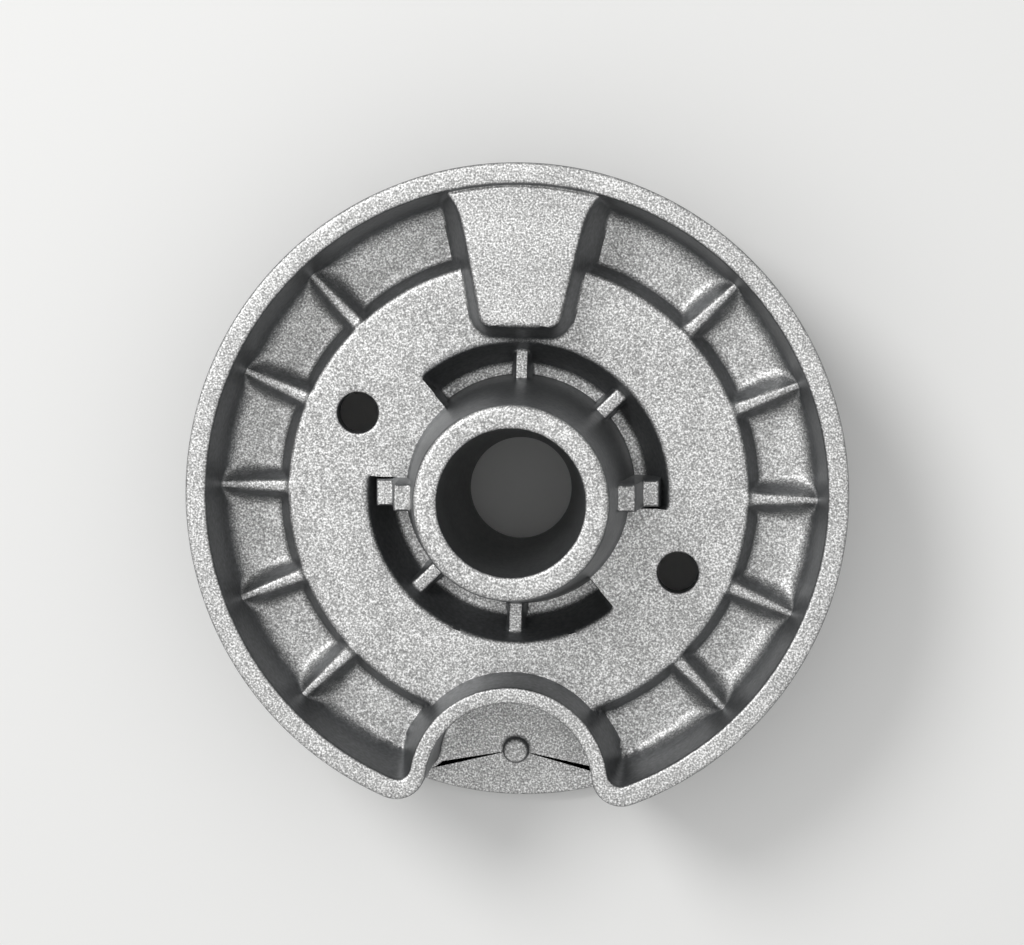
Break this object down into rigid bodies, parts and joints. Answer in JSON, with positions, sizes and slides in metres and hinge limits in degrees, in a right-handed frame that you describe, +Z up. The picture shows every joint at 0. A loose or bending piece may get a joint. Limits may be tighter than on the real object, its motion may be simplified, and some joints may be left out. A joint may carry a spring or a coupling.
{
  "type": "gas burner base",
  "caption": "Round die-cast gas burner base with a central venturi tube, a ring of ribbed pockets, screw holes, a spark plug notch and radial flame ports.",
  "frame": {"origin": "on the venturi axis, in the plane of the flame side that the part lies on", "axes": "+Z up the venturi tube and away from the flame side, -Y through the spark plug notch, +Y through the wedge pad"},
  "size_m": [0.063, 0.0627, 0.0256],
  "materials": {
    "cast_aluminium": "shot-blasted die casting"
  },
  "bodies": {
    "root": {"burner_base": "cast_aluminium"}
  },
  "joints": []
}
